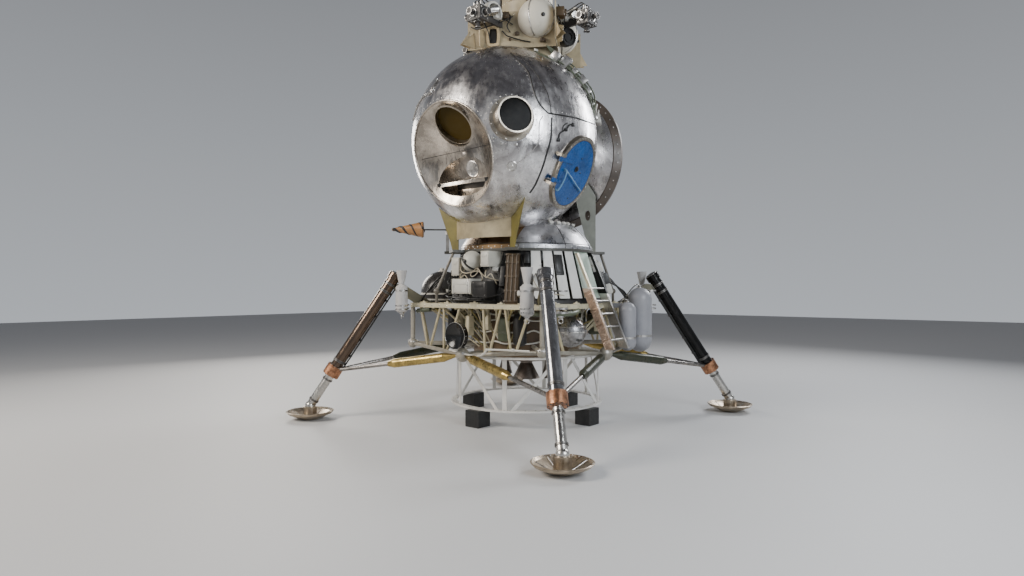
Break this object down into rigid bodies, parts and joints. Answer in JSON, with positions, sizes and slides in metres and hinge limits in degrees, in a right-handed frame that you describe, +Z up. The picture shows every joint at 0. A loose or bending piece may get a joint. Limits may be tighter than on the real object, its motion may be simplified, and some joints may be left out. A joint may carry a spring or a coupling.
{
  "type": "lunar lander",
  "caption": "Crewed lunar lander: ball-shaped cabin over a truss landing stage with splayed legs, standing on its display ring.",
  "frame": {"origin": "on the floor under the lander's vertical axis, at the middle of the four footpads", "axes": "+Z up, -Y towards the front with the dished window, +X towards the hatch"},
  "size_m": [4.0656, 4.0656, 5.2],
  "materials": {
    "cabin_metal": "polished, mottled",
    "dish_metal": "warm brushed",
    "frame_metal": "brushed",
    "window_glass": "dark tinted",
    "hatch_blue": "satin blue",
    "inner_paint": "matt",
    "dark_metal": "worn dark",
    "beige_cover": "satin",
    "white_tank": "satin",
    "yellow_bracket": "satin",
    "green_grey": "satin",
    "bronze_block": "satin bronze",
    "cream_frame": "satin",
    "white_frame": "satin",
    "strut_grey": "satin",
    "black_wall": "matt",
    "white_strip": "satin",
    "pale_green": "satin",
    "equipment_paint": "satin",
    "capsule_grey": "satin",
    "black_gloss": "glossy",
    "leg_chrome": "polished",
    "copper_joint": "worn copper",
    "piston_steel": "polished",
    "pad_metal": "brushed",
    "strut_brass": "satin brass",
    "motor_grey": "satin",
    "cone_orange": "satin",
    "black_foot": "matt"
  },
  "bodies": {
    "lander": {"cabin_front_shell": "cabin_metal", "cabin_right_shell": "cabin_metal", "cabin_left_shell": "cabin_metal", "cabin_top_shell": "cabin_metal", "window_dish": "dish_metal", "window_frames": "frame_metal", "window_glass": "window_glass", "hatch_frame": "frame_metal", "cabin_floor": "inner_paint", "control_console": "inner_paint", "instrument_bay": "cabin_metal", "bay_flange": "dark_metal", "rcs_housing": "beige_cover", "rcs_plates": "beige_cover", "rcs_tanks": "white_tank", "thruster_pods": "dark_metal", "docking_plate": "dish_metal", "front_fins": "yellow_bracket", "front_band": "beige_cover", "rear_brackets": "green_grey", "support_ring": "green_grey", "stage_skirt": "cabin_metal", "rocket_block": "bronze_block", "engine_nozzles": "dark_metal", "deck": "cream_frame", "lower_frame": "white_frame", "deck_lattice": "cream_frame", "slant_struts": "strut_grey", "equipment_wall": "black_wall", "louvre_strips": "white_strip", "side_panel": "pale_green", "ladder": "frame_metal", "equipment_boxes": "equipment_paint", "side_tank": "dark_metal", "sphere_tank": "cabin_metal", "grey_capsules": "capsule_grey", "radar_dish": "black_gloss", "leg_tubes": "leg_chrome", "knee_collars": "copper_joint", "leg_pistons": "piston_steel", "footpads": "pad_metal", "leg_brackets": "green_grey", "side_struts": "strut_brass", "strut_rods": "piston_steel", "hold_down_motors": "motor_grey", "antenna_bracket": "frame_metal", "stand_rings": "white_frame", "stand_lattice": "white_frame", "stand_feet": "black_foot"},
    "hatch": {"hatch_door": "hatch_blue"},
    "antenna": {"antenna_boom": "dark_metal", "antenna_cone": "cone_orange"}
  },
  "joints": [
    {"name": "hatch_hinge", "type": "hinge", "parent": "lander", "child": "hatch", "pos_m": [0.95931, -0.71723, 2.69798], "axis": [-0.4299, -0.0225, -0.9026], "range_deg": [0, 100]},
    {"name": "antenna_hinge", "type": "hinge", "parent": "lander", "child": "antenna", "pos_m": [-0.68566, -0.6283, 2.185], "axis": [0, 0, -1], "range_deg": [0, 90]}
  ]
}
